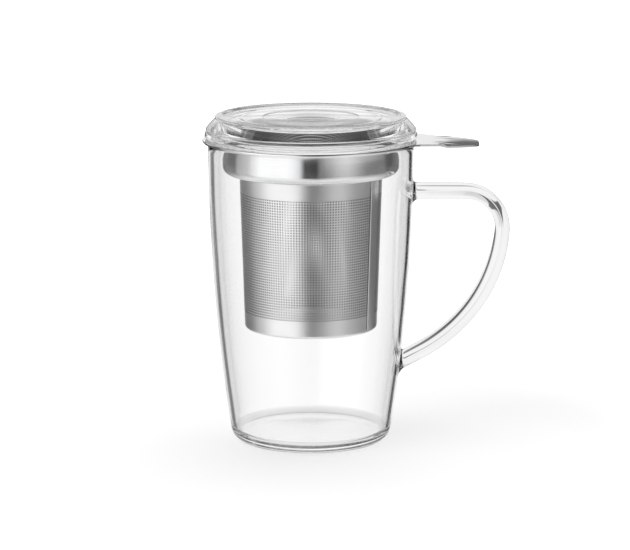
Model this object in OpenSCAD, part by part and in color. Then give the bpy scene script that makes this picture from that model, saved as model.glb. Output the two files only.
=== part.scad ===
// Glass tea mug with a lift-out steel infuser and a lift-off glass lid.
// Millimetres, +Z up. The origin is on the mug's axis, in the plane it stands on,
// and +X points to the handle.

/* [Mug] */
// Height of the glass body, from its base to its rim
mug_h = 122.5; // [118:0.5:128]
// Outer radius at the rim
rim_r = 41.4; // [40.5:0.1:43]
// How much smaller the outer radius gets from the rim to the base
side_taper = 9.5; // [8:0.1:10]
// Thickness of the wall
wall = 2.3; // [2.1:0.1:2.6]
// Thickness of the floor
floor_t = 4; // [3:0.1:5]
// Radius of the rounding from the side to the base, outside
base_round = 5.5; // [5:0.1:7]
// Radius of the rounding from the floor to the wall, inside
floor_round = 3; // [2:0.1:5]

/* [Handle] */
// Diameter of the glass rod
rod_d = 7.1; // [6.5:0.1:8]
// Height of the straight upper run's centreline
handle_z = 102.2; // [101:0.1:104]
// How far from the mug's axis the upper run starts to bend
bend_start = 62; // [60:0.5:64]
// Radius of the upper bend's centreline
bend_r = 15; // [14:0.5:16]
// Radius of the long lower sweep's centreline
sweep_r = 62.5; // [61:0.5:64]
// How far the rod flares out where it is fused to the wall
weld_flare = 1.2; // [0.5:0.1:1.5]

/* [Infuser] */
// Thickness of the collar's sheet
collar_t = 0.8; // [0.6:0.1:0.9]
// Outer radius of the flange that rests on the rim
flange_r = 43.6; // [43.2:0.1:45]
// Outer radius of the collar below the flange
collar_r = 35.6; // [35.4:0.1:36.4]
// Depth of the collar, from the flange's underside to its stepped bottom
collar_h = 12.8; // [11:0.1:14]
// Outer radius of the basket where it meets the collar
basket_top_r = 28.8; // [28:0.1:29.5]
// Outer radius of the basket at its bottom
basket_bottom_r = 26.8; // [25.5:0.1:27.5]
// Depth from the flange's underside to the basket's bottom
basket_depth = 75.7; // [68:0.1:80]
// Thickness of the basket's sheet
basket_t = 0.5; // [0.4:0.05:0.6]

/* [Finger tab] */
// How far the tab's tip is from the mug's axis
tab_reach = 67.6; // [66:0.2:72]
// Half the tab's width where it leaves the flange
tab_root_w = 16; // [14:0.5:17]
// Half the tab's width near its tip
tab_tip_w = 6.4; // [5.5:0.1:7]
// How steeply the tab slopes down, in degrees
tab_slope = 3.4; // [2:0.1:4]

/* [Lid] */
// Outer radius of the lid's lower band
lid_r = 42.7; // [42:0.1:43]
// Height of the lid above the flange
lid_h = 9.7; // [9:0.1:10.5]
// Height of the lower band
band_h = 3; // [2.6:0.1:3.2]
// Radius of the crest round the top
crest_r = 37.2; // [36.8:0.1:37.6]
// Depth of the recess inside the crest
recess_depth = 1; // [0.8:0.1:1.3]
// Thickness of the glass under the recess
plate_t = 4.2; // [3.6:0.1:4.6]
// Outer radius of the ring under the lid, which centres it in the collar
skirt_r = 34.4; // [33:0.1:34.4]
// Depth of that ring below the flange's top
skirt_h = 5; // [3:0.1:7]

/* [Hidden] */
$fn = 96;

glass = [0.86, 0.93, 0.92, 0.4];
polished_steel = [0.78, 0.79, 0.8];
satin_steel = [0.66, 0.67, 0.68];

lip_r = 1;                           // rounding of the rim's two edges
side_steps = 12;                     // facets along the mug's curved side
flange_z = mug_h + collar_t;         // top of the flange, where the lid sits
shoulder_z = mug_h - collar_h;       // underside of the collar's step
shoulder_round = 3.5;                // outer rounding of the collar's bottom corner
neck_r = basket_top_r - 1.2;         // hole in the collar's step, above the basket
bend_in = 1.2;                       // inner rounding from the flange to the collar
basket_z = mug_h - basket_depth;     // lowest point of the basket
pan_h = 1.7;                         // height of the basket floor's upturned edge
pan_round = 1.3;                     // outer rounding of that edge
lap_w = 6.5;                         // width of the basket's lap seam
lap_t = 0.3;                         // how far the lap stands out
lap_angle = -35;                     // direction of the lap's left edge
lap_gap = 0.8;                       // plain end of the lap below the collar's step
bend_angle = 96.5;                   // how far the upper bend turns
sweep_angle = 56;                    // how far the lower sweep turns
rod_step = 0.1;                      // each length of the rod is this much slimmer than the last
rod_overlap = 0.5;                   // and starts this far inside it

// Points on an arc about [x, y], from angle a to angle b.
function arc(x, y, r, a, b, n = 6) =
    [for (i = [0:n]) let (t = a + (b - a) * i / n) [x + r * cos(t), y + r * sin(t)]];

// The mug's side leans in towards the base on a smooth curve.
function side_r(z) = rim_r - side_taper * pow(1 - z / mug_h, 2);
function side_lean(z) = atan(2 * side_taper / mug_h * (1 - z / mug_h));
function side(inset, z0, z1) =
    [for (i = [0:side_steps]) let (z = z0 + (z1 - z0) * i / side_steps) [side_r(z) - inset, z]];

// A corner of radius r between a level face at height z and the side, set in by inset.
function side_corner(r, z, inset) =
    let (lean = side_lean(z + r), top = z + r * (1 - sin(lean)),
         x = side_r(top) - inset - r * cos(lean))
    concat(arc(x, z + r, r, -90, -lean - 8), [[side_r(top) - inset, top]]);
function corner_top(r, z) = z + r * (1 - sin(side_lean(z + r)));

function basket_r(z) =
    basket_bottom_r + (basket_top_r - basket_bottom_r) * (z - basket_z) / (shoulder_z - basket_z);

// The outside of the mug as a solid, without its cavity.
module mug_solid() {
    z0 = corner_top(base_round, 0);
    rotate_extrude() polygon(concat(
        [[0, 0]], side_corner(base_round, 0, 0),
        [for (p = side(0, z0, mug_h - lip_r)) if (p[1] > z0 + 1) p],
        arc(rim_r - lip_r, mug_h - lip_r, lip_r, 15, 90),
        [[0, mug_h]]));
}

module mug_cavity() {
    z0 = corner_top(floor_round, floor_t);
    in_r = rim_r - wall;
    rotate_extrude() polygon(concat(
        [[0, floor_t]], side_corner(floor_round, floor_t, wall),
        [for (p = side(wall, z0, mug_h - lip_r)) if (p[1] > z0 + 1) p],
        arc(in_r + lip_r, mug_h - lip_r, lip_r, 165, 90),
        [[in_r + lip_r, mug_h + 1], [0, mug_h + 1]]));
}

module mug_body() {
    color(glass) difference() {
        mug_solid();
        mug_cavity();
    }
}

// A straight run of the rod along +X. It flares out at its near end, where it enters the wall.
module rod_run(d, length) {
    flare_len = 4;
    buried = 4;
    r = d / 2;
    rotate([90, 0, 90]) rotate_extrude() polygon(concat(
        [[0, -buried], [r + weld_flare, -buried]],
        [for (i = [0:4]) [r + weld_flare * pow(1 - i / 4, 2), flare_len * i / 4]],
        [[r, length], [0, length]]));
}

// A bend that starts along +X at the origin and turns down, with its start inside the run before.
module rod_bend(d, r, angle) {
    lead = rod_overlap / r * 180 / PI;
    translate([0, 0, -r]) rotate([90, 0, 0]) rotate([0, 0, 90 - angle])
        rotate_extrude(angle = angle + lead) translate([r, 0]) circle(d = d);
}

module mug_handle() {
    top_start = side_r(handle_z);
    sweep_x = bend_start + bend_r * sin(bend_angle);
    sweep_z = handle_z - bend_r * (1 - cos(bend_angle));
    heading = bend_angle + sweep_angle;
    low_x = sweep_x + sweep_r * (sin(heading) - sin(bend_angle));
    low_z = sweep_z - sweep_r * (cos(bend_angle) - cos(heading));
    weld_z = low_z - (low_x - side_r(low_z)) * tan(180 - heading);
    low_toe = 2.5;                   // the lower run starts this far inside, as the wall is at a slant
    low_len = (low_x - side_r(weld_z)) / -cos(heading) + low_toe;
    color(glass) difference() {
        union() {
            translate([top_start, 0, handle_z]) rod_run(rod_d, bend_start - top_start);
            translate([bend_start, 0, handle_z]) rod_bend(rod_d - rod_step, bend_r, bend_angle);
            translate([sweep_x, 0, sweep_z]) rotate([0, bend_angle, 0])
                rod_bend(rod_d - 2 * rod_step, sweep_r, sweep_angle);
            translate([low_x + low_len * cos(heading), 0, low_z - low_len * sin(heading)])
                rotate([0, heading - 180, 0]) rod_run(rod_d - 3 * rod_step, low_len + rod_overlap);
        }
        mug_solid();
    }
}

// Flange, collar and stepped bottom, drawn from one sheet.
module collar_drawing() {
    in_r = collar_r - collar_t;
    corner = shoulder_z + shoulder_round;
    rotate_extrude() polygon(concat(
        [[flange_r - 0.2, mug_h], [flange_r, mug_h + 0.2],
         [flange_r, flange_z - 0.2], [flange_r - 0.2, flange_z]],
        arc(in_r + bend_in, flange_z - bend_in, bend_in, 90, 180),
        arc(collar_r - shoulder_round, corner, shoulder_round - collar_t, 0, -90),
        [[neck_r, shoulder_z + collar_t], [neck_r, shoulder_z]],
        arc(collar_r - shoulder_round, corner, shoulder_round, -90, 0),
        arc(collar_r + bend_in - collar_t, mug_h - bend_in + collar_t, bend_in - collar_t,
            180, 90, 3)));
}

// The finger tab, one piece with the flange and bent down a little.
module tab() {
    tip_round = 4;
    root_x = 38;
    shoulder_x = tab_reach - tip_round;
    hinge_x = 41;
    outline = concat(
        [[root_x, tab_root_w + 2.4], [flange_r - 1.6, tab_root_w], [53, 11.8]],
        arc(shoulder_x, tab_tip_w - tip_round, tip_round, 62, 0));
    translate([hinge_x, 0, mug_h]) rotate([0, tab_slope, 0]) translate([-hinge_x, 0, 0])
        linear_extrude(collar_t)
            polygon(concat(outline, [for (i = [len(outline) - 1:-1:0]) [outline[i][0], -outline[i][1]]]));
}

module infuser_collar() {
    color(polished_steel) {
        collar_drawing();
        difference() {
            tab();
            cylinder(r = flange_r - 0.6, h = mug_h + 10);
        }
    }
}

module basket_wall() {
    z0 = basket_z + pan_h;
    z1 = shoulder_z;
    lap_z1 = z1 - lap_gap;
    color(satin_steel) {
        rotate_extrude() polygon([
            [basket_r(z0) - basket_t, z0], [basket_r(z0), z0],
            [basket_r(z1), z1], [basket_r(z1) - basket_t, z1]]);
        rotate([0, 0, lap_angle]) rotate_extrude(angle = lap_w / basket_top_r * 180 / PI)
            polygon([
                [basket_r(z0) - basket_t / 2, z0], [basket_r(z0) + lap_t, z0],
                [basket_r(lap_z1) + lap_t, lap_z1], [basket_r(lap_z1) - basket_t / 2, lap_z1]]);
    }
}

module basket_floor() {
    r = basket_r(basket_z + pan_h);
    x = r - pan_round;
    z = basket_z + pan_round;
    color(satin_steel) rotate_extrude() polygon(concat(
        [[0, basket_z]], arc(x, z, pan_round, -90, 0),
        [[r, basket_z + pan_h], [r - basket_t, basket_z + pan_h]],
        arc(x, z, pan_round - basket_t, 0, -90),
        [[0, basket_z + basket_t]]));
}

module lid() {
    crest_round = 1.4;
    shoulder_r = 5;
    groove = 0.5;                    // step in from the band to the shoulder
    edge_round = 0.5;
    foot_round = 0.4;
    top = flange_z + lid_h;
    band_z = flange_z + band_h;
    floor_z = top - recess_depth;
    under_z = floor_z - plate_t;
    skirt_w = 3;
    skirt_foot = 1.3;                // rounding of the skirt's lower edge
    skirt_blend = 2;                 // rounding from the skirt to the plate
    ring = [19.2, 28.6];             // inner and outer radius of the raised ring in the recess
    ring_h = 0.3;
    dimple_r = 11.5;
    color(glass) rotate_extrude() polygon(concat(
        [[0, floor_z - ring_h], [dimple_r - ring_h, floor_z - ring_h], [dimple_r, floor_z],
         [ring[0] - ring_h, floor_z], [ring[0], floor_z + ring_h],
         [ring[1], floor_z + ring_h], [ring[1] + ring_h, floor_z]],
        arc(crest_r, top - crest_round, crest_round, 180 - asin(1 - recess_depth / crest_round), 42),
        arc(lid_r - shoulder_r - 0.1, band_z - 0.9, shoulder_r, 45, 14),
        [[lid_r - groove, band_z]],
        arc(lid_r - edge_round, band_z - 0.2 - edge_round, edge_round, 75, 0, 4),
        arc(lid_r - foot_round, flange_z + foot_round, foot_round, 0, -90, 3),
        [[skirt_r, flange_z]],
        arc(skirt_r - skirt_w / 2, flange_z - skirt_h + skirt_foot, skirt_foot, 0, -180),
        arc(skirt_r - skirt_w - skirt_blend, under_z - skirt_blend, skirt_blend, 0, 90),
        [[0, under_z]]));
}

mug_body();
mug_handle();
infuser_collar();
basket_wall();
basket_floor();
lid();
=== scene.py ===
"""Looks of the lidded glass tea mug with its steel infuser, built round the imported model. Metres, +Z up."""
import math

import bmesh
import bpy
import numpy as np
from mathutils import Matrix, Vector, geometry


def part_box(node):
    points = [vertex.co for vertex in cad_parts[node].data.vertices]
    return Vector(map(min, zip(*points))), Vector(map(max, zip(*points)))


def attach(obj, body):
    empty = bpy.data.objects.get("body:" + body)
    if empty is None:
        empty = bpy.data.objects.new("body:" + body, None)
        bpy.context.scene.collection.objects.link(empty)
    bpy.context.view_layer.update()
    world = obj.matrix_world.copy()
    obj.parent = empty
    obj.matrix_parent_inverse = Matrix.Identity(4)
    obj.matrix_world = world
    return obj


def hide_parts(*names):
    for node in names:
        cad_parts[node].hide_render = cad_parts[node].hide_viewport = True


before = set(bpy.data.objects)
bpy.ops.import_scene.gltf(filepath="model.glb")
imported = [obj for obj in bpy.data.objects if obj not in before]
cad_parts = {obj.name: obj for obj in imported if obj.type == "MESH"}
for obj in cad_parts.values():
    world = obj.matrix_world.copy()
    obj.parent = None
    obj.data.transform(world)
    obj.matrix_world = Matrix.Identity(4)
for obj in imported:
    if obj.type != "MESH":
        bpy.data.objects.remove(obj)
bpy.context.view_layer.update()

MM = 0.001
TURN = 2 * math.pi

# Sizes that the frame gives
_, mug_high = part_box("mug_body")
collar_low, collar_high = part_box("infuser_collar")
basket_low, basket_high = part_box("basket_wall")
pan_low, pan_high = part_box("basket_floor")
lid_low, lid_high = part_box("lid")
_, handle_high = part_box("mug_handle")

MUG_H = mug_high.z
RIM_R = mug_high.x
FLANGE_Z = collar_high.z
SHOULDER_Z = collar_low.z
FLANGE_R = -collar_low.x
TAB_REACH = collar_high.x
LID_R = -lid_low.x
LID_TOP = lid_high.z

# Sizes of the glass body
TAPER = 9.5 * MM
WALL = 2.3 * MM
FLOOR_T = 4 * MM
BASE_ROUND = 5.5 * MM
FLOOR_ROUND = 3.2 * MM
HOLLOW_R = 25 * MM
BASE_HOLLOW = 0.12 * MM
FLOOR_HOLLOW = 0.08 * MM
GLASS_STEPS = 288
WALL_STEPS = 46

# Sizes of the handle's rod. A little past the middle of its bend it is slightly flattened and widened
ROD_R = 3.55 * MM
ROD_SIDES = 64
ROD_STEP = 0.5 * MM
ROD_END_SHARE = 0.97
TOP_RUN_Z = handle_high.z - 4.73 * MM
BEND_START = 62 * MM
BEND_R = 15 * MM
BEND_TURN = math.radians(96.5)
BEND_BLEND = 5 * MM
SWEEP_R = 62.5 * MM
SWEEP_TURN = math.radians(56)
LOW_RUN = 16 * MM
FLAT_SHARE = 0.13
FLAT_WIDENS = 0.3
FLAT_PAST_BEND = 8 * MM
FLAT_SPREAD = 16 * MM

# Sizes of the infuser
SHEET = 0.8 * MM
COLLAR_R = 35.6 * MM
COLLAR_ROUND = 3.5 * MM
MOUTH_BEND = 1.3 * MM
NECK_R = 27.6 * MM
FLANGE_FLAT_R = 40 * MM
BASKET_SHEET = 0.5 * MM
BASKET_TOP_R = 28.8 * MM
BASKET_BOTTOM_R = 26.8 * MM
HOLE_R = 0.34 * MM
HOLE_COLUMNS = 160
HOLE_ROWS = 47
HOLE_TOP_Z = 102.3 * MM
HOLE_BOTTOM_Z = 54.4 * MM
HOLE_SIDES = 8
LAP_EDGE = math.radians(-35)
LAP_WIDTH = math.radians(13)
LAP_T = 0.3 * MM

# The finger tab slopes down past its root. Its tip is crowned and a little twisted
TAB_ROOT = 41 * MM
TAB_SLOPE = math.tan(math.radians(3.2))
CROWN_START = 10.5 * MM
CROWN_RUN = 3 * MM
CROWN = 1.5
TWIST = 0.05


# ---------------------------------------------------------------- meshes

def arc(x, z, r, start, end, n):
    """Points on an arc about (x, z), from angle start to angle end, in degrees."""
    angles = np.radians(np.linspace(start, end, n + 1))
    return [(x + r * math.cos(a), z + r * math.sin(a)) for a in angles]


def even_angles(n):
    """n angles all the way round, from 0."""
    return np.linspace(0, TURN, n, endpoint=False)


def around(n):
    """The pairs of neighbours in a ring of n."""
    return [(i, (i + 1) % n) for i in range(n)]


def bridge(low, high):
    """Faces between two rings of point numbers."""
    return [(low[i], low[j], high[j], high[i]) for i, j in around(len(low))]


def add_mesh(name, points, faces, crease):
    """A new object in the frame's own place, shaded smooth but for edges sharper than crease degrees."""
    mesh = bpy.data.meshes.new(name)
    mesh.from_pydata([tuple(p) for p in points], [], faces)
    mesh.validate()
    mesh.shade_smooth()
    if crease:
        mesh.set_sharp_from_angle(angle=math.radians(crease))
    piece = bpy.data.objects.new(name, mesh)
    bpy.context.scene.collection.objects.link(piece)
    return piece


def outward(piece):
    """Turns the faces of a closed mesh outwards."""
    bm = bmesh.new()
    bm.from_mesh(piece.data)
    bmesh.ops.recalc_face_normals(bm, faces=bm.faces)
    bm.to_mesh(piece.data)
    bm.free()
    return piece


def lathe(profile, angles):
    """Points and faces of a closed outline of (r, z) turned about Z. An end on the axis becomes one point."""
    on_axis = 1e-7
    points, rings, faces = [], [], []
    for r, z in profile:
        if r < on_axis:
            rings.append([len(points)])
            points.append((0, 0, z))
        else:
            rings.append(list(range(len(points), len(points) + len(angles))))
            points += [(r * math.cos(a), r * math.sin(a), z) for a in angles]
    pairs = list(zip(rings, rings[1:]))
    if len(rings[0]) > 1:
        pairs.append((rings[-1], rings[0]))
    for low, high in pairs:
        if len(low) == 1:
            faces += [(low[0], high[j], high[i]) for i, j in around(len(angles))]
        elif len(high) == 1:
            faces += [(low[i], low[j], high[0]) for i, j in around(len(angles))]
        else:
            faces += bridge(low, high)
    return points, faces


# ---------------------------------------------------------------- mug

def side_r(z):
    """The mug's outer radius at height z."""
    return RIM_R - TAPER * (1 - z / MUG_H) ** 2


def side(inset, z0, z1):
    """Points up the wall from z0 to z1, inset from its outer face."""
    return [(side_r(z) - inset, z) for z in np.linspace(z0, z1, WALL_STEPS)]


def rounded_corner(z, inset, r, n):
    """The corner of radius r between a level face at height z and the side, and the height where it ends."""
    lean = math.degrees(math.atan(2 * TAPER / MUG_H * (1 - (z + r) / MUG_H)))
    end_z = z + r * (1 - math.sin(math.radians(lean)))
    x = side_r(end_z) - inset - r * math.cos(math.radians(lean))
    return arc(x, z + r, r, -90, -lean, n), end_z


def mug_outline():
    """The glass body from the middle of its base, up the outside, over the lip and down to its floor."""
    lip = WALL / 2
    lip_z = MUG_H - lip
    outer, outer_z = rounded_corner(0, 0, BASE_ROUND, 14)
    inner, inner_z = rounded_corner(FLOOR_T, WALL, FLOOR_ROUND, 12)
    base = [(HOLLOW_R * t, BASE_HOLLOW * (1 - t * t) ** 2) for t in np.linspace(0, 1, 14)]
    floor = [(HOLLOW_R * t, FLOOR_T - FLOOR_HOLLOW * (1 - t * t) ** 2) for t in np.linspace(1, 0, 14)]
    return (
        base + outer + side(0, outer_z, lip_z)[1:-1]
        + arc(side_r(lip_z) - lip, lip_z, lip, 0, 180, 12)
        + side(WALL, inner_z, lip_z)[-2:0:-1] + inner[::-1] + floor
    )


def handle_line():
    """The rod's centreline in the XZ plane, in even steps from the wall above to the wall below.

    Gives x, z, the heading below level and the length so far, for each step."""
    start = side_r(TOP_RUN_Z) - WALL
    lengths = [BEND_START - start, BEND_R * BEND_TURN, SWEEP_R * SWEEP_TURN, LOW_RUN]
    turns = [0, 1 / BEND_R, 1 / SWEEP_R, 0]
    ends = np.cumsum(lengths)
    along = np.arange(0, ends[-1], ROD_STEP)
    curvature = np.array(turns)[np.searchsorted(ends, along).clip(0, len(turns) - 1)]
    width = int(BEND_BLEND / ROD_STEP)
    padded = np.pad(curvature, width, mode="edge")
    soft = np.convolve(padded, np.ones(width) / width, "same")[width:-width]
    heading = np.cumsum(soft) * ROD_STEP
    x = start + np.cumsum(np.cos(heading)) * ROD_STEP
    z = TOP_RUN_Z - np.cumsum(np.sin(heading)) * ROD_STEP
    return x, z, heading, along


def weld(axis, toward, across, radius, fillet_up, fillet_low):
    """Rings that take the rod into the wall: each of its lines bends outwards until it lies on the wall.

    axis is a point on the rod's centreline, toward the way into the wall and across the rod's upper side.
    radius gives the rod's radius at an angle, and the fillets are the bends' radii above and below."""
    steps = 9
    approaches = 12
    sunk = 0.04 * MM
    inside = 1.2 * MM
    rings = []
    for n in range(steps + 2):
        ring = []
        t = 0.5 * math.pi * min(n, steps) / steps
        for k in range(ROD_SIDES):
            a = TURN * k / ROD_SIDES
            fillet = fillet_low + (fillet_up - fillet_low) * (1 + math.cos(a)) / 2
            rho = radius(a) + fillet * (1 - math.cos(t))
            off = fillet * (1 - math.sin(t)) - sunk if n <= steps else -inside
            p = axis + across * (rho * math.cos(a)) + Vector((0, rho * math.sin(a), 0))
            for _ in range(approaches):
                gap = math.hypot(p.x, p.y) - side_r(p.z) - off
                p = p + toward * gap
            ring.append(p)
        rings.append(ring)
    return rings


def add_rod():
    """The handle's rod: a tube that spreads into the wall at both ends."""
    off_wall = 6 * MM
    wide_fillet = 2.4 * MM
    x, z, heading, along = handle_line()
    free = [i for i in range(len(x)) if x[i] - side_r(z[i]) > off_wall]
    bend_at = BEND_START + BEND_R * BEND_TURN / 2 - RIM_R
    squeeze = FLAT_SHARE * np.exp(-(((along - bend_at - FLAT_PAST_BEND) / FLAT_SPREAD) ** 2))
    thick = ROD_R * np.interp(along, [0, along[-1]], [1, ROD_END_SHARE])

    def reach(i, a):
        flat = thick[i] * (1 - squeeze[i]) * math.cos(a)
        wide = thick[i] * (1 + FLAT_WIDENS * squeeze[i]) * math.sin(a)
        return math.hypot(flat, wide)

    rings = []
    for i in free:
        normal = Vector((math.sin(heading[i]), 0, math.cos(heading[i])))
        centre = Vector((x[i], 0, z[i]))
        ring = []
        for k in range(ROD_SIDES):
            a = TURN * k / ROD_SIDES
            r = reach(i, a)
            ring.append(centre + normal * (r * math.cos(a)) + Vector((0, r * math.sin(a), 0)))
        rings.append(ring)
    ends = ((free[0], -1, 1.3 * MM, wide_fillet), (free[-1], 1, wide_fillet, 1.2 * MM))
    for end, way, fillet_up, fillet_low in ends:
        h = heading[end]
        toward = Vector((way * math.cos(h), 0, -way * math.sin(h)))
        across = Vector((math.sin(h), 0, math.cos(h)))
        axis = Vector((x[end], 0, z[end]))
        spread = weld(axis, toward, across, lambda a, end=end: reach(end, a), fillet_up, fillet_low)
        rings = spread[::-1] + rings if way < 0 else rings + spread
    points = [p for ring in rings for p in ring]
    faces = []
    for i in range(len(rings) - 1):
        low, high = i * ROD_SIDES, (i + 1) * ROD_SIDES
        faces += [(low + k, high + k, high + m, low + m) for k, m in around(ROD_SIDES)]
    faces.append(tuple(range(ROD_SIDES)))
    faces.append(tuple((len(rings) - 1) * ROD_SIDES + k for k in range(ROD_SIDES))[::-1])
    return add_mesh("rod", points, faces, 0)


def fuse(piece, other):
    """Unites other with piece and removes other."""
    modifier = piece.modifiers.new("fuse", "BOOLEAN")
    modifier.operation = "UNION"
    modifier.solver = "EXACT"
    modifier.object = other
    bpy.context.view_layer.update()
    shaped = bpy.data.meshes.new_from_object(piece.evaluated_get(bpy.context.evaluated_depsgraph_get()))
    piece.modifiers.clear()
    piece.data = shaped
    bpy.data.objects.remove(other)


def soften_weld(piece):
    """Smooths the mesh where the rod runs into the wall, as glass that was melted together."""
    from_x = 30 * MM
    half_width = 9 * MM
    top_z = MUG_H - 8 * MM
    sunk, proud = -0.15 * MM, 0.25 * MM
    short = 0.45 * MM
    rounds = 3

    def at_weld(vert):
        x, y, z = vert.co
        by_handle = x > from_x and abs(y) < half_width and z < top_z
        return by_handle and sunk < math.hypot(x, y) - side_r(z) < proud and any(
            edge.calc_length() < short for edge in vert.link_edges)

    bm = bmesh.new()
    bm.from_mesh(piece.data)
    near = [vert for vert in bm.verts if at_weld(vert)]
    for _ in range(rounds):
        bmesh.ops.smooth_vert(bm, verts=near, factor=0.5, use_axis_x=True, use_axis_y=True, use_axis_z=True)
    bm.to_mesh(piece.data)
    bm.free()


def add_mug():
    """The vessel with its handle fused on, as one piece of glass."""
    piece = outward(add_mesh("mug_glass", *lathe(mug_outline(), even_angles(GLASS_STEPS)), 0))
    fuse(piece, outward(add_rod()))
    soften_weld(piece)
    piece.data.shade_smooth()
    return piece


# ---------------------------------------------------------------- lid

def lid_outline():
    """The pressed lid from the middle of its top, down the outside and back under it to the middle."""
    floor_z = LID_TOP - 1 * MM
    under_z = floor_z - 3.4 * MM
    rest_z = FLANGE_Z + 0.05 * MM
    button_r, dome, cup = 11 * MM, 0.9 * MM, 0.5 * MM
    ring_in, ring_out = 19.2 * MM, 28.6 * MM
    ring_z = floor_z + 0.3 * MM
    crest, foot_gap = 0.66 * MM, 0.5 * MM
    soft = 0.9 * MM
    skirt_in, skirt_r, skirt_z = 32.4 * MM, 34.4 * MM, lid_low.z
    skirt_round = (skirt_r - skirt_in) / 2
    groove_z, groove_round = 125.6 * MM, 1.2 * MM
    recessed_top = (
        [(button_r * t, floor_z + dome * (1 - t * t)) for t in np.linspace(0, 1, 12)]
        + arc(button_r + soft, floor_z + 0.6 * MM, 0.6 * MM, -110, -90, 3)
        + arc(ring_in - foot_gap, floor_z + soft, soft, -90, -50, 4)
        + arc(ring_in + crest, ring_z - soft, soft, 130, 90, 4)
        + arc(ring_out - crest, ring_z - soft, soft, 90, 50, 4)
        + arc(ring_out + foot_gap, floor_z + soft, soft, -130, -90, 4)
        + arc(35.4 * MM, floor_z + 0.8 * MM, 0.8 * MM, -90, -45, 5)
    )
    sloped_shoulder = (
        arc(36.9 * MM, LID_TOP - soft, soft, 135, 90, 6)
        + arc(37.6 * MM, LID_TOP - soft, soft, 90, 25, 8)
        + arc(40.1 * MM, 132.7 * MM, 1.8 * MM, 200, 225, 4)
        + [(40.95 * MM, 129.15 * MM), (41.75 * MM, 128.2 * MM)]
    )
    band = (
        arc(42.25 * MM, 128.15 * MM, 0.4 * MM, 195, 235, 4)
        + arc(42.0 * MM, 127.3 * MM, 0.3 * MM, 60, 10, 4)
        + arc(LID_R - 2.2 * MM, 125.0 * MM, 2.2 * MM, 40, 0, 8)
        + arc(LID_R - 1.5 * MM, rest_z + 1.5 * MM, 1.5 * MM, 0, -90, 8)
        + arc(40.6 * MM, rest_z + 0.4 * MM, 0.4 * MM, -90, -180, 5)
    )
    underside = (
        arc(39.0 * MM, groove_z - groove_round, groove_round, 0, 90, 8)
        + arc(skirt_r + groove_round, groove_z - groove_round, groove_round, 90, 180, 8)
        + arc(skirt_r - skirt_round, skirt_z + skirt_round, skirt_round, 0, -180, 14)
        + arc(skirt_in - 0.6 * MM, under_z - 0.6 * MM, 0.6 * MM, 0, 90, 6)
        + [(button_r * t, under_z + cup * (1 - t * t)) for t in np.linspace(1, 0, 12)]
    )
    return recessed_top + sloped_shoulder + band + underside


def add_lid():
    return outward(add_mesh("lid_glass", *lathe(lid_outline(), even_angles(GLASS_STEPS)), 40))


# ---------------------------------------------------------------- infuser

def tab_edge(a):
    """How far the flange's edge is from the axis at angle a: the finger tab stands out round angle 0."""
    tip_round = 4.2 * MM
    tip_half = 6.4 * MM
    flank = [(53, 11.6), (47.5, 14), (43.4, 15.7), (41, 17.4), (38.6, 20.3)]
    outline = (
        [(TAB_REACH, 0)] + arc(TAB_REACH - tip_round, tip_half - tip_round, tip_round, 0, 58, 8)
        + [(x * MM, y * MM) for x, y in flank]
    )
    angles = [math.atan2(y, x) for x, y in outline]
    radii = [math.hypot(x, y) for x, y in outline]
    return max(FLANGE_R, float(np.interp(abs(math.remainder(a, TURN)), angles, radii)))


def collar_angles():
    """Even steps round the collar, and finer ones across the finger tab."""
    wide = math.radians(26)
    fine = np.linspace(-wide, wide, 157)
    coarse = np.linspace(wide, TURN - wide, 240)[1:-1]
    return np.concatenate([fine, coarse])


def flange_rings(angles):
    """Rings of the flange with its tab: outwards over the top, round the edge and back underneath."""
    edge = 0.25 * MM
    level = 1e-6
    shares = [0, 0.2, 0.4, 0.6, 0.8, 0.93, 1]
    rounded = [(FLANGE_Z, 0.6), (FLANGE_Z - edge, 1), (MUG_H + edge, 1), (MUG_H, 0.6)]
    outline = (
        [("face", FLANGE_Z, t) for t in shares]
        + [("edge", z, t) for z, t in rounded]
        + [("face", MUG_H, t) for t in shares[::-1]]
    )
    reaches = [tab_edge(a) for a in angles]
    rings = []
    for kind, z, t in outline:
        ring = []
        for a, reach in zip(angles, reaches):
            if kind == "face":
                r = FLANGE_FLAT_R * (1 - t) + (reach - edge) * t
            else:
                r = reach - edge * (1 - t)
            out = max(0.0, r * math.cos(a) - TAB_ROOT) if reach > FLANGE_R + level else 0
            y = r * math.sin(a)
            bent = min(1.0, max(0.0, out - CROWN_START) / CROWN_RUN)
            drop = TAB_SLOPE * out + bent * (CROWN * y * y - TWIST * y)
            ring.append((r * math.cos(a), y, z - drop))
        rings.append(ring)
    return rings


def add_collar():
    """Flange, finger tab, collar and stepped bottom, made from one sheet by deep drawing."""
    ear = 1.4 * MM
    lip = 0.3 * MM
    round_r, round_z = COLLAR_R - COLLAR_ROUND, SHOULDER_Z + COLLAR_ROUND
    outer = (
        arc(COLLAR_R + ear, MUG_H - ear, ear, 90, 180, 6)
        + arc(round_r, round_z, COLLAR_ROUND, 0, -90, 12)
        + [(NECK_R + lip, SHOULDER_Z), (NECK_R, SHOULDER_Z + lip), (NECK_R, SHOULDER_Z + SHEET)]
    )
    inner = (
        arc(round_r, round_z, COLLAR_ROUND - SHEET, -90, 0, 10)
        + arc(COLLAR_R - SHEET + MOUTH_BEND, FLANGE_Z - MOUTH_BEND, MOUTH_BEND, 180, 90, 8)
    )
    angles = collar_angles()
    rings = flange_rings(angles)
    rings += [[(r * math.cos(a), r * math.sin(a), z) for a in angles] for r, z in outer + inner]
    points = [p for ring in rings for p in ring]
    numbers = [range(k * len(angles), (k + 1) * len(angles)) for k in range(len(rings))]
    faces = []
    for low, high in zip(numbers, numbers[1:] + numbers[:1]):
        faces += bridge(low, high)
    piece = outward(add_mesh("infuser_flange_and_collar", points, faces, 38))
    mark_collar_inside(piece)
    return piece


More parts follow.
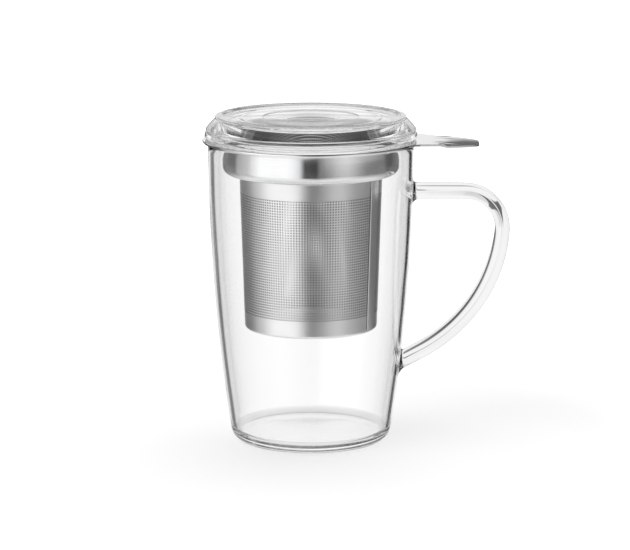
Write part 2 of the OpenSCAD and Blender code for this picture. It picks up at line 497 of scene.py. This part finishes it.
def mark_collar_inside(piece):
    """Gives the second material, steel darkened with painted shade, to the collar's inner side and to the
    step at its bottom.
    """
    steep = 0.3
    upward = 0.5
    for face in piece.data.polygons:
        x, y, z = face.center
        r = math.hypot(x, y)
        inwards = -(x * face.normal.x + y * face.normal.y) / r
        on_step = face.normal.z > upward and z < FLANGE_Z - MOUTH_BEND
        if r < COLLAR_R and (inwards > steep or on_step):
            face.material_index = 1


def basket_r(z):
    """The basket's outer radius at height z."""
    t = (z - pan_low.z) / (SHOULDER_Z - pan_low.z)
    return BASKET_BOTTOM_R + (BASKET_TOP_R - BASKET_BOTTOM_R) * t


def add_basket():
    """The basket's side: a sheet made cell by cell, each with a hole made by etching and the hole's own wall.
    """
    pitch_z = (HOLE_TOP_Z - HOLE_BOTTOM_Z) / (HOLE_ROWS - 1)
    rows = [HOLE_BOTTOM_Z + pitch_z * (k - 0.5) for k in range(HOLE_ROWS + 1)]
    below = list(np.linspace(basket_low.z, rows[0], 4))[:-1]
    above = list(np.linspace(rows[-1], basket_high.z, 6))[1:]
    heights = below + rows + above
    holed_rows = range(len(below), len(below) + HOLE_ROWS)
    lap_columns = range(0, int(LAP_WIDTH / TURN * HOLE_COLUMNS))
    angles = LAP_EDGE + even_angles(HOLE_COLUMNS)
    hole_angles = [TURN * (k + 0.5) / HOLE_SIDES for k in range(HOLE_SIDES)]
    points, faces = [], []

    def ring(z, inset):
        """Adds a ring of points and gives the number of its first."""
        start = len(points)
        r = basket_r(z) - inset
        for a in angles:
            points.append((r * math.cos(a), r * math.sin(a), z))
        return start

    outer = [ring(z, 0) for z in heights]
    inner = [ring(z, BASKET_SHEET) for z in heights]

    def plain_cell(c_out, c_in):
        faces.append(tuple(c_out))
        faces.append(tuple(c_in[::-1]))

    def holed_cell(row, i, c_out, c_in):
        z_mid = (heights[row] + heights[row + 1]) / 2
        a_mid = angles[i] + TURN / HOLE_COLUMNS / 2
        holes = []
        for inset in (0, BASKET_SHEET):
            r = basket_r(z_mid) - inset
            holes.append([len(points) + k for k in range(HOLE_SIDES)])
            for t in hole_angles:
                z = z_mid + HOLE_R * math.sin(t)
                a = a_mid + HOLE_R * math.cos(t) / r
                hole_r = basket_r(z) - inset
                points.append((hole_r * math.cos(a), hole_r * math.sin(a), z))
        for c, h, flip in ((c_out, holes[0], False), (c_in, holes[1], True)):
            quads = [
                (c[1], c[2], h[0], h[7]), (c[2], h[1], h[0]), (c[2], c[3], h[2], h[1]), (c[3], h[3], h[2]),
                (c[3], c[0], h[4], h[3]), (c[0], h[5], h[4]), (c[0], c[1], h[6], h[5]), (c[1], h[7], h[6]),
            ]
            faces.extend(q[::-1] if flip else q for q in quads)
        faces.extend(bridge(holes[0], holes[1]))

    for row in range(len(heights) - 1):
        for i, j in around(HOLE_COLUMNS):
            c_out, c_in = [[low + i, low + j, high + j, high + i]
                           for low, high in ((outer[row], outer[row + 1]), (inner[row], inner[row + 1]))]
            if row in holed_rows and i not in lap_columns:
                holed_cell(row, i, c_out, c_in)
            else:
                plain_cell(c_out, c_in)
    for i, j in around(HOLE_COLUMNS):
        faces.append((outer[0] + j, outer[0] + i, inner[0] + i, inner[0] + j))
        faces.append((outer[-1] + i, outer[-1] + j, inner[-1] + j, inner[-1] + i))
    piece = outward(add_mesh("basket_wall_perforated", points, faces, 30))
    mark_basket_inside(piece)
    return piece


def mark_basket_inside(piece):
    """Gives the second material, steel darkened with painted shade, to faces that look towards the axis, and
    the third, near black with painted shade, to the holes' walls.
    """
    facing = 0.5
    for face in piece.data.polygons:
        x, y, _ = face.center
        outwards = (x * face.normal.x + y * face.normal.y) / math.hypot(x, y)
        if outwards < facing:
            face.material_index = 2 if outwards > -facing else 1


def add_lap():
    """The lap of the basket's seam: a plain strip over the sheet's edge, with a painted shadow line along one
    side.
    """
    below_top = 0.8 * MM
    sunk = -0.1 * MM
    thin_edge = 0.4
    shares = [0, 0.035, 0.085, 0.15, 0.3, 0.45, 0.6, 0.75, 0.9, 0.96, 1]
    z0, z1 = basket_low.z, basket_high.z - below_top
    steps, rows = len(shares) - 1, 24
    points, faces = [], []
    for out in (LAP_T, sunk):
        for k in range(rows + 1):
            z = z0 + (z1 - z0) * k / rows
            for i, share in enumerate(shares):
                a = LAP_EDGE + LAP_WIDTH * share
                edge = 1 if 1 < i < steps else thin_edge
                r = basket_r(z) + (out * edge if out > 0 else out)
                points.append((r * math.cos(a), r * math.sin(a), z))
    n = steps + 1
    layer = (rows + 1) * n
    for k in range(rows):
        for i in range(steps):
            a = k * n + i
            faces.append((a, a + 1, a + n + 1, a + n))
            faces.append((layer + a + n, layer + a + n + 1, layer + a + 1, layer + a))
    border = (
        list(range(n)) + [k * n + steps for k in range(1, rows + 1)]
        + [rows * n + i for i in range(steps - 1, -1, -1)] + [k * n for k in range(rows - 1, 0, -1)]
    )
    for a, b in zip(border, border[1:] + border[:1]):
        faces.append((a, layer + a, layer + b, b))
    piece = outward(add_mesh("basket_seam_lap", points, faces, 25))
    # The strip by the lap's edge gets the near black steel: a painted shadow line along the seam
    line_a = LAP_EDGE + LAP_WIDTH * (shares[1] + shares[2]) / 2
    for face in piece.data.polygons:
        if math.atan2(face.center.y, face.center.x) < line_a:
            face.material_index = 1
    return piece


def holed_disc(disc_r, holes_r, pitch):
    """Points and triangles of a flat disc with a square grid of round holes inside holes_r."""
    nearly = 0.9
    merge_within = 1e-7
    hole_angles = [TURN * (k + 0.5) / HOLE_SIDES for k in range(HOLE_SIDES)]
    hole = [(HOLE_R * math.cos(t), HOLE_R * math.sin(t)) for t in hole_angles]
    flat, edges = [], []

    def loop(ring):
        start = len(flat)
        flat.extend(ring)
        edges.extend((start + i, start + j) for i, j in around(len(ring)))

    loop([Vector((disc_r * math.cos(a), disc_r * math.sin(a))) for a in even_angles(128)])
    span = int(holes_r / pitch)
    for i in range(-span, span + 1):
        for j in range(-span, span + 1):
            if math.hypot(i, j) * pitch < holes_r:
                loop([Vector((i * pitch + x, j * pitch + y)) for x, y in hole])
    out, _, triangles, _, _, _ = geometry.delaunay_2d_cdt(flat, edges, [], 0, merge_within)
    xy = np.array([(p.x, p.y) for p in out])
    kept = []
    for triangle in triangles:
        x, y = xy[list(triangle)].mean(0)
        i, j = round(x / pitch), round(y / pitch)
        off_centre = math.hypot(x - i * pitch, y - j * pitch)
        in_hole = math.hypot(i, j) * pitch < holes_r and off_centre < HOLE_R * nearly
        if math.hypot(x, y) < disc_r and not in_hole:
            kept.append(tuple(triangle))
    return xy, kept


def add_basket_floor():
    """The basket's pressed bottom: a shallow pan with the same fine holes in its flat middle."""
    disc_r = 24.5 * MM
    rim_share = 0.999
    pan_round = 1.3 * MM
    low = pan_low.z
    xy, kept = holed_disc(disc_r, holes_r=21.5 * MM, pitch=1.04 * MM)
    n = len(xy)
    points = [(x, y, low) for x, y in xy] + [(x, y, low + BASKET_SHEET) for x, y in xy]
    faces = [t[::-1] for t in kept] + [tuple(n + i for i in t) for t in kept]
    at_rim = [sum(p ** 2) > (disc_r * rim_share) ** 2 for p in xy]
    sides = dict.fromkeys(pair for t in kept for pair in zip(t, t[1:] + t[:1]))
    for a, b in sides:
        if (b, a) not in sides and not (at_rim[a] and at_rim[b]):
            faces.append((a, b, n + b, n + a))
    rim = sorted((i for i in range(n) if at_rim[i]), key=lambda i: math.atan2(xy[i][1], xy[i][0]))
    angles = [math.atan2(xy[i][1], xy[i][0]) for i in rim]
    edge_r = basket_r(pan_high.z)
    round_r = edge_r - pan_round
    outline = (
        arc(round_r, low + pan_round, pan_round, -90, 0, 8)
        + [(edge_r, pan_high.z), (edge_r - BASKET_SHEET, pan_high.z)]
        + arc(round_r, low + pan_round, pan_round - BASKET_SHEET, 0, -90, 6)
    )
    rings = [rim]
    for r, z in outline:
        rings.append(list(range(len(points), len(points) + len(angles))))
        points += [(r * math.cos(a), r * math.sin(a), z) for a in angles]
    rings.append([n + i for i in rim])
    for low_ring, high_ring in zip(rings, rings[1:]):
        faces += bridge(low_ring, high_ring)
    return outward(add_mesh("basket_floor_perforated", points, faces, 30))


# ---------------------------------------------------------------- materials

def material(name):
    """A new material and its empty node tree."""
    made = bpy.data.materials.new(name)
    made.use_nodes = True
    tree = made.node_tree
    tree.nodes.clear()
    return made, tree


def node(tree, kind, **values):
    """A node with its settings and its unlinked inputs set. A name with a leading i_ is an input socket."""
    made = tree.nodes.new(kind)
    for key, value in values.items():
        if key.startswith("i_"):
            made.inputs[key[2:].replace("_", " ")].default_value = value
        else:
            setattr(made, key, value)
    return made


def math_node(tree, operation, *inputs, clamp=False):
    """The result of a Math node on sockets and numbers."""
    made = tree.nodes.new("ShaderNodeMath")
    made.operation = operation
    made.use_clamp = clamp
    for socket, value in zip(made.inputs, inputs):
        if isinstance(value, bpy.types.NodeSocket):
            tree.links.new(value, socket)
        else:
            socket.default_value = value
    return made.outputs[0]


def ramp(tree, factor, stops):
    """A colour ramp through (position, grey or colour) stops."""
    made = tree.nodes.new("ShaderNodeValToRGB")
    elements = made.color_ramp.elements
    while len(elements) < len(stops):
        elements.new(1)
    for element, (position, value) in zip(elements, stops):
        element.position = position
        element.color = (*value, 1) if isinstance(value, tuple) else (value, value, value, 1)
    tree.links.new(factor, made.inputs[0])
    return made.outputs[0]


def glass(name, ior, painted_edge_shade_stops, ripple, absorb=None):
    """Clear glass, with a faint slow ripple and a trace of mist.

    painted_edge_shade_stops tint it by how steeply it is looked at: painted shade, dark lines near the
    outline where dark surroundings would show through the wall.
    ripple is the bump's scale, strength and depth, and absorb the colour and density of its bulk. Lamps and
    soft light from around pass straight through."""
    mist = 0.01
    passed = (0.94, 0.95, 0.95, 1)
    ripple_scale, ripple_strength, ripple_depth = ripple
    made, tree = material(name)
    out = node(tree, "ShaderNodeOutputMaterial")
    spot = node(tree, "ShaderNodeTexCoord")
    surface = node(tree, "ShaderNodeBsdfPrincipled", i_IOR=ior, i_Transmission_Weight=1.0)

    facing = node(tree, "ShaderNodeLayerWeight", i_Blend=0.5)
    tree.links.new(ramp(tree, facing.outputs["Facing"], painted_edge_shade_stops), surface.inputs["Base Color"])

    waves = node(tree, "ShaderNodeTexNoise", i_Scale=ripple_scale, i_Detail=1.5, i_Roughness=0.4)
    bump = node(tree, "ShaderNodeBump", i_Strength=ripple_strength, i_Distance=ripple_depth)
    tree.links.new(spot.outputs["Object"], waves.inputs["Vector"])
    tree.links.new(waves.outputs["Fac"], bump.inputs["Height"])
    tree.links.new(bump.outputs["Normal"], surface.inputs["Normal"])

    cloud = node(tree, "ShaderNodeTexNoise", i_Scale=60.0, i_Detail=3.0)
    tree.links.new(spot.outputs["Object"], cloud.inputs["Vector"])
    tree.links.new(math_node(tree, "MULTIPLY", cloud.outputs["Fac"], mist), surface.inputs["Roughness"])

    through = node(tree, "ShaderNodeBsdfTransparent", i_Color=passed)
    path = node(tree, "ShaderNodeLightPath")
    straight = math_node(tree, "MAXIMUM", path.outputs["Is Shadow Ray"], path.outputs["Is Diffuse Ray"])
    mix = node(tree, "ShaderNodeMixShader")
    tree.links.new(straight, mix.inputs[0])
    tree.links.new(surface.outputs[0], mix.inputs[1])
    tree.links.new(through.outputs[0], mix.inputs[2])
    tree.links.new(mix.outputs[0], out.inputs["Surface"])
    if absorb:
        colour, density = absorb
        volume = node(tree, "ShaderNodeVolumeAbsorption", i_Color=colour, i_Density=density)
        tree.links.new(volume.outputs[0], out.inputs["Volume"])
    return made


def steel(name, colour, rough, brush, brush_depth):
    """Stainless sheet with fine brushing round the axis, and slight clouds in its colour.

    rough is the range of roughness, and brush the noise's scale along each axis."""
    cloud_share = 0.93
    made, tree = material(name)
    out = node(tree, "ShaderNodeOutputMaterial")
    spot = node(tree, "ShaderNodeTexCoord")
    surface = node(tree, "ShaderNodeBsdfPrincipled", i_Metallic=1.0)

    cloud = node(tree, "ShaderNodeTexNoise", i_Scale=45.0, i_Detail=2.0)
    tree.links.new(spot.outputs["Object"], cloud.inputs["Vector"])
    clouded = tuple(c * cloud_share for c in colour)
    tint = ramp(tree, cloud.outputs["Fac"], [(0.3, clouded), (0.7, colour)])
    tree.links.new(tint, surface.inputs["Base Color"])

    stretch = node(tree, "ShaderNodeMapping", i_Scale=brush)
    lines = node(tree, "ShaderNodeTexNoise", i_Scale=1.0, i_Detail=4.0, i_Roughness=0.6)
    tree.links.new(spot.outputs["Object"], stretch.inputs["Vector"])
    tree.links.new(stretch.outputs[0], lines.inputs["Vector"])
    spread = node(tree, "ShaderNodeMapRange", i_To_Min=rough[0], i_To_Max=rough[1])
    tree.links.new(lines.outputs["Fac"], spread.inputs["Value"])
    tree.links.new(spread.outputs[0], surface.inputs["Roughness"])
    bump = node(tree, "ShaderNodeBump", i_Strength=0.35, i_Distance=brush_depth)
    tree.links.new(lines.outputs["Fac"], bump.inputs["Height"])
    tree.links.new(bump.outputs[0], surface.inputs["Normal"])
    tree.links.new(surface.outputs[0], out.inputs["Surface"])
    return made


# ---------------------------------------------------------------- studio

def table_material():
    """White with a faint shadow. Metal and glass look through it to the world's studio."""
    near, far = (0.12, 0.53), (0.5, 1.0)
    made, tree = material("white_table")
    out = node(tree, "ShaderNodeOutputMaterial")
    glow = node(tree, "ShaderNodeEmission")
    spot = node(tree, "ShaderNodeTexCoord")
    distance = node(tree, "ShaderNodeVectorMath", operation="LENGTH")
    tree.links.new(spot.outputs["Object"], distance.inputs[0])
    tree.links.new(ramp(tree, distance.outputs["Value"], [near, far]), glow.inputs["Strength"])
    matt = node(tree, "ShaderNodeBsdfDiffuse", i_Color=(0.5, 0.5, 0.5, 1))
    both = node(tree, "ShaderNodeAddShader")
    clear = node(tree, "ShaderNodeBsdfTransparent")
    path = node(tree, "ShaderNodeLightPath")
    away = math_node(tree, "MAXIMUM", path.outputs["Is Glossy Ray"], path.outputs["Is Transmission Ray"])
    mix = node(tree, "ShaderNodeMixShader")
    tree.links.new(glow.outputs[0], both.inputs[0])
    tree.links.new(matt.outputs[0], both.inputs[1])
    tree.links.new(away, mix.inputs[0])
    tree.links.new(both.outputs[0], mix.inputs[1])
    tree.links.new(clear.outputs[0], mix.inputs[2])
    tree.links.new(mix.outputs[0], out.inputs["Surface"])
    return made


def add_floor():
    """The table, just under the mug's base."""
    half_size = 4.0
    grid = 24
    below = 0.02 * MM
    steps = np.linspace(-half_size, half_size, grid + 1)
    points = [(x, y, -below) for y in steps for x in steps]
    rows = [range(k * (grid + 1), (k + 1) * (grid + 1)) for k in range(grid + 1)]
    faces = []
    for front, back in zip(rows, rows[1:]):
        faces += [(front[i], front[i + 1], back[i + 1], back[i]) for i in range(grid)]
    floor = add_mesh("table", points, faces, 0)
    floor.data.materials.append(table_material())


class Sky:
    """The world's light by direction. Stops stand at angles in degrees: round from straight behind the mug,
    positive towards the handle's side, and up from level. azimuth is in radians and height in degrees."""

    def __init__(self, tree):
        self.tree = tree
        spot = node(tree, "ShaderNodeTexCoord")
        parts = node(tree, "ShaderNodeSeparateXYZ")
        tree.links.new(spot.outputs["Generated"], parts.inputs[0])
        self.azimuth = math_node(tree, "ARCTAN2", parts.outputs["X"], parts.outputs["Y"])
        rise = math_node(tree, "ARCSINE", parts.outputs["Z"])
        self.height = math_node(tree, "MULTIPLY", rise, 360 / TURN)
        self.azimuth_share = math_node(tree, "MULTIPLY_ADD", self.azimuth, 1 / TURN, 0.5)
        self.height_share = math_node(tree, "MULTIPLY_ADD", self.height, 1 / 180, 0.5)

    def by_azimuth(self, stops):
        return ramp(self.tree, self.azimuth_share, [(a / 360 + 0.5, level) for a, level in stops])

    def by_height(self, stops):
        return ramp(self.tree, self.height_share, [(h / 180 + 0.5, level) for h, level in stops])

    def times(self, one, other):
        return math_node(self.tree, "MULTIPLY", one, other)

    def minus(self, one, other, clamp=False):
        return math_node(self.tree, "SUBTRACT", one, other, clamp=clamp)

    def larger(self, one, other):
        return math_node(self.tree, "MAXIMUM", one, other)

    def times_plus(self, one, other, added):
        return math_node(self.tree, "MULTIPLY_ADD", one, other, added)

    def distance(self, one, other):
        return math_node(self.tree, "ABSOLUTE", math_node(self.tree, "SUBTRACT", one, other))

    def choose(self, switch, on, off):
        """on where switch is 1 and off where it is 0."""
        made = node(self.tree, "ShaderNodeMix", data_type="FLOAT")
        self.tree.links.new(switch, made.inputs[0])
        self.tree.links.new(off, made.inputs[2])
        self.tree.links.new(on, made.inputs[3])
        return made.outputs[0]


def mirrored_light(sky):
    """What metal mirrors: a broad softbox on the left, a backdrop behind, a weak softbox on the right, and
    dark between. It comes twice: with a low backdrop, and with a tall one for mirrors behind several surfaces
    of glass."""
    gain = 1.5
    cover = 0.93
    backdrop_level = 1.15
    round_about = sky.by_azimuth([
        (-180, 0.25), (-173, 0.45), (-160, 0.85), (-150, 1.0), (-112, 1.0), (-100, 0.75), (-92, 0.5),
        (-72, 0.34), (-66, 0.08), (-27, 0.04), (-21, 0.5), (-4, 0.7), (0, 0.72), (18, 0.7), (26, 0.02),
        (66, 0.03), (72, 0.13), (104, 0.14), (113, 0.23), (122, 0.35), (131, 0.44), (139, 0.43), (147, 0.35),
        (155, 0.21), (163, 0.12), (172, 0.12), (180, 0.25)])
    strip = sky.times(
        sky.by_azimuth([(-180, 1.0), (-172, 1.0), (-166, 0.0), (168, 0.0), (173, 1.0), (180, 1.0)]),
        sky.by_height([(-21, 0.0), (-18, 1.0), (0, 1.0), (5, 0.0)]))
    front_low = sky.times(
        sky.by_height([(-40, 0.35), (-15, 0.2), (-13, 0.0)]),
        sky.by_azimuth([(-180, 0.0), (60, 0.0), (100, 1.0), (160, 1.0), (172, 0.0)]))
    uncovered = sky.times_plus(sky.times(round_about, strip), -cover, round_about)
    level = sky.times(math_node(sky.tree, "ADD", uncovered, front_low), gain)

    behind = sky.by_azimuth([(-60, 0.0), (-45, 1.0), (45, 1.0), (60, 0.0)])
    horizon = sky.times(sky.by_height([(-8, 0.0), (-6, 0.85), (-1.5, 0.85), (0.5, 0.0)]), behind)
    sides = sky.by_height([
        (-50, 0.0), (-26, 0.6), (-17, 1.0), (11.5, 1.0), (13.5, 0.1), (34, 0.1), (44, 0.0)])
    sides = sky.times(sides, sky.minus(1.0, horizon))
    above_and_below = sky.by_height([
        (-90, 1.1), (-45, 1.1), (-26, 0.35), (-17, 0.0), (13, 0.0), (16, 0.09), (34, 0.12), (44, 0.7),
        (60, 1.0), (90, 1.0)])
    plain = sky.times_plus(level, sides, above_and_below)

    low = sky.by_height([(-2, 0.0), (4, backdrop_level), (11.5, backdrop_level), (13.5, 0.0)])
    tall = sky.by_height([(-2, 0.0), (4, backdrop_level), (30, backdrop_level), (38, 0.0)])
    return sky.larger(plain, sky.times(low, behind)), sky.larger(plain, sky.times(tall, behind))


def light_through_rod(sky):
    """What shows straight through solid glass: white, but for a dark gap that rises towards the handle's
    side, and a slanting dark bar with a faint halo, which make the dark patch at the handle's bend."""
    white, dimming = 1.15, 1.1
    gap_lowest, gap_climb, gap_deepest, gap_edge = -45.5, 50.0, 10.0, 1.6
    gap_share = sky.by_azimuth([
        (-20, 0.28), (0, 0.25), (12, 0.26), (30, 0.3), (40, 0.5), (60, 0.77), (80, 0.9), (100, 0.95)])
    gap_height = sky.times_plus(gap_share, gap_climb, gap_lowest)
    gap_depth = sky.times(sky.by_azimuth([
        (-20, 0.15), (0, 0.3), (12, 0.5), (30, 1.0), (45, 0.7), (60, 0.5), (80, 0.4)]), gap_deepest)
    gap_dark = sky.by_azimuth([
        (-60, 0.0), (-45, 0.3), (-25, 0.3), (-8, 0.1), (0, 0.45), (10, 0.8), (24, 0.95), (66, 0.95),
        (80, 0.3), (100, 0.0)])
    off_gap = math_node(sky.tree, "DIVIDE", sky.distance(sky.height, gap_height), gap_depth)
    gap = sky.times(sky.minus(gap_edge, off_gap, clamp=True), gap_dark)

    bar_slope, bar_drop, bar_half = 0.78, 11.8, 3.1
    lean = sky.times_plus(sky.azimuth, -bar_slope * 360 / TURN, sky.height)
    off_bar = sky.distance(lean, -bar_drop)
    bar = sky.times(sky.minus(bar_half, off_bar, clamp=True), sky.by_azimuth([
        (-17, 0.0), (-12, 0.92), (1.6, 0.92), (2.2, 0.0), (4.2, 0.0), (5.2, 0.92), (22, 0.92), (28, 0.0)]))
    ahead = sky.times(
        sky.by_azimuth([(-5, 0.0), (-3.5, 1.0), (3.5, 1.0), (5, 0.0)]),
        sky.by_height([(-11, 0.0), (-10, 1.0)]))
    bar = sky.times(bar, sky.minus(1.0, ahead))
    halo = sky.times(
        sky.by_azimuth([(2.5, 0.0), (4, 0.27), (16, 0.27), (22, 0.0)]),
        sky.by_height([(-9.5, 0.0), (-8.5, 1.0), (8, 1.0), (14, 0.5), (20, 0.0)]))
    return sky.times_plus(sky.larger(gap, sky.larger(bar, halo)), -dimming, white)


def light_inside_glass(sky):
    """What shows where light turns back inside the glass: pale, with dark gaps low down and high up."""
    low_gaps = sky.by_azimuth([
        (-180, 0.85), (-60, 0.9), (-37, 0.9), (-33, 0.25), (-24, 0.2), (-19, 1.0), (16, 1.0), (19, 0.03),
        (29, 0.03), (33, 0.9), (60, 0.9), (180, 0.85)])
    low_share = sky.by_height([(-60, 0.0), (-35, 1.0), (-5, 1.0), (1, 0.0)])
    level = sky.minus(1.0, sky.times(sky.minus(1.0, low_gaps), low_share))
    high_gap = sky.by_height([
        (-20, 1.0), (-5, 1.35), (11, 1.35), (14, 0.4), (24, 0.4), (29, 1.35), (90, 1.35)])
    return sky.times(level, high_gap)


def add_world():
    """White to the eye, and plain where it lights matt things. Metal and glass see a studio of broad lights
    with dark gaps, which also depends on how many surfaces of glass are crossed and on whether it is
    mirrored."""
    ambient = 0.5
    world = bpy.data.worlds.new("studio")
    bpy.context.scene.world = world
    world.use_nodes = True
    tree = world.node_tree
    tree.nodes.clear()
    out = node(tree, "ShaderNodeOutputWorld")
    sky = Sky(tree)
    mirrored, mirrored_through_walls = mirrored_light(sky)
    seen_in_rod = light_through_rod(sky)
    seen_in_walls = sky.by_height([(-90, 1.0), (-45, 0.9), (-28, 1.0), (-20, 1.3), (90, 1.3)])
    turned_back = light_inside_glass(sky)

    path = node(tree, "ShaderNodeLightPath")
    crossed = path.outputs["Transmission Depth"]
    was_mirrored = math_node(tree, "GREATER_THAN", path.outputs["Glossy Depth"], 0.5)
    crossed_two = math_node(tree, "COMPARE", crossed, 2.0, 0.5)
    crossed_more = math_node(tree, "GREATER_THAN", crossed, 2.5)
    pattern = sky.choose(
        was_mirrored,
        sky.choose(crossed_two, turned_back, sky.choose(crossed_more, mirrored_through_walls, mirrored)),
        sky.choose(crossed_more, seen_in_walls, seen_in_rod))
    by_metal_or_glass = sky.larger(path.outputs["Is Glossy Ray"], path.outputs["Is Transmission Ray"])
    seen = math_node(tree, "ADD", path.outputs["Is Camera Ray"], sky.times(by_metal_or_glass, pattern))
    total = math_node(tree, "ADD", seen, sky.times(path.outputs["Is Diffuse Ray"], ambient))
    light = node(tree, "ShaderNodeBackground")
    tree.links.new(total, light.inputs["Strength"])
    tree.links.new(light.outputs[0], out.inputs["Surface"])


def add_lamp(name, location, side_length, power):
    """A square soft lamp that faces the mug. Metal and glass don't show it, but the world's studio."""
    mug_middle = Vector((0, 0, 0.06))
    data = bpy.data.lights.new(name, "AREA")
    data.shape = "RECTANGLE"
    data.size = data.size_y = side_length
    data.energy = power
    lamp = bpy.data.objects.new(name, data)
    bpy.context.scene.collection.objects.link(lamp)
    lamp.location = location
    lamp.rotation_euler = (mug_middle - Vector(location)).to_track_quat("-Z", "Y").to_euler()
    lamp.visible_glossy = False
    lamp.visible_transmission = False


def add_camera():
    """The photograph's viewpoint: a long lens about 1.1 m away that looks a little down."""
    data = bpy.data.cameras.new("camera")
    data.sensor_width = 36
    data.lens = 156.6
    data.clip_end = 50
    looks_down = 11.28
    camera = bpy.data.objects.new("camera", data)
    bpy.context.scene.collection.objects.link(camera)
    camera.location = (1.65 * MM, -1.090, 0.2849)
    camera.rotation_euler = (math.radians(90 - looks_down), 0, 0)
    bpy.context.scene.camera = camera


# ---------------------------------------------------------------- the object

POLISHED_BRUSH, POLISHED_DEPTH = (40, 40, 3000), 0.004 * MM
SATIN_BRUSH, SATIN_DEPTH = (60, 60, 2500), 0.006 * MM

# Painted shade: clear_glass darkens where it is seen at a steep slant, for the dark lines near the wall's
# outline
clear_glass = glass(
    "clear_glass", ior=1.47, ripple=(35.0, 0.25, 0.4 * MM),
    painted_edge_shade_stops=[(0.0, 1.0), (0.62, 0.99), (0.68, 0.84), (0.75, 0.84), (0.8, 0.97), (1.0, 0.97)])
lid_glass = glass(
    "lid_glass", ior=1.5, ripple=(40.0, 0.12, 0.12 * MM), painted_edge_shade_stops=[(0.0, 1.0), (1.0, 0.99)],
    absorb=((0.75, 0.85, 0.83, 1), 1.5))

# Each steel has its colour, its range of roughness, and its brushing's scale and depth
polished = steel("polished_steel", (0.88, 0.885, 0.89), (0.06, 0.12), POLISHED_BRUSH, POLISHED_DEPTH)
# Painted shade: the collar's inside and its bottom step are darkened where they lie in shade
collar_painted_shade = steel("collar_inside_painted_shade", (0.42, 0.425, 0.43), (0.12, 0.2), POLISHED_BRUSH, POLISHED_DEPTH)
satin = steel("satin_steel", (0.92, 0.925, 0.92), (0.28, 0.33), SATIN_BRUSH, SATIN_DEPTH)
# Painted shade: the basket's inner faces are darkened where the inside of the basket lies in shade
inner = steel("satin_steel_inside_painted_shade", (0.17, 0.172, 0.17), (0.35, 0.45), SATIN_BRUSH, SATIN_DEPTH)
# Painted shade: near black in the holes' walls, and a painted shadow line beside the seam's lap
hole_and_seam_painted_shade = steel("hole_walls_and_seam_line_painted_shade", (0.05, 0.05, 0.05), (0.5, 0.6), SATIN_BRUSH, SATIN_DEPTH)


def dress(piece, materials, body, slot, *nodes):
    """Gives a piece its materials and the body it rides on, and hides the solids that it stands for. slot is
    not used.
    """
    for one in materials:
        piece.data.materials.append(one)
    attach(piece, body)
    if nodes:
        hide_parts(*nodes)


dress(add_mug(), [clear_glass], "mug", "clear_glass", "mug_body", "mug_handle")
dress(add_collar(), [polished, collar_painted_shade], "infuser", "polished_steel", "infuser_collar")
dress(add_basket(), [satin, inner, hole_and_seam_painted_shade], "infuser", "satin_steel", "basket_wall")
dress(add_lap(), [satin, hole_and_seam_painted_shade], "infuser", "satin_steel")
dress(add_basket_floor(), [satin], "infuser", "satin_steel", "basket_floor")
dress(add_lid(), [lid_glass], "lid", "lid_glass", "lid")

add_floor()
add_world()
add_lamp("key_lamp", (-0.9, -0.5, 1.3), 0.9, 9)
add_lamp("top_lamp", (0.15, 0.35, 1.5), 1.2, 12)
add_camera()
bpy.context.scene.view_settings.view_transform = "Standard"
# Light that is guided inside the lid and the base turns many times before it comes out
BOUNCES = 32
limits = bpy.context.scene.cycles
limits.max_bounces = limits.glossy_bounces = limits.transmission_bounces = BOUNCES
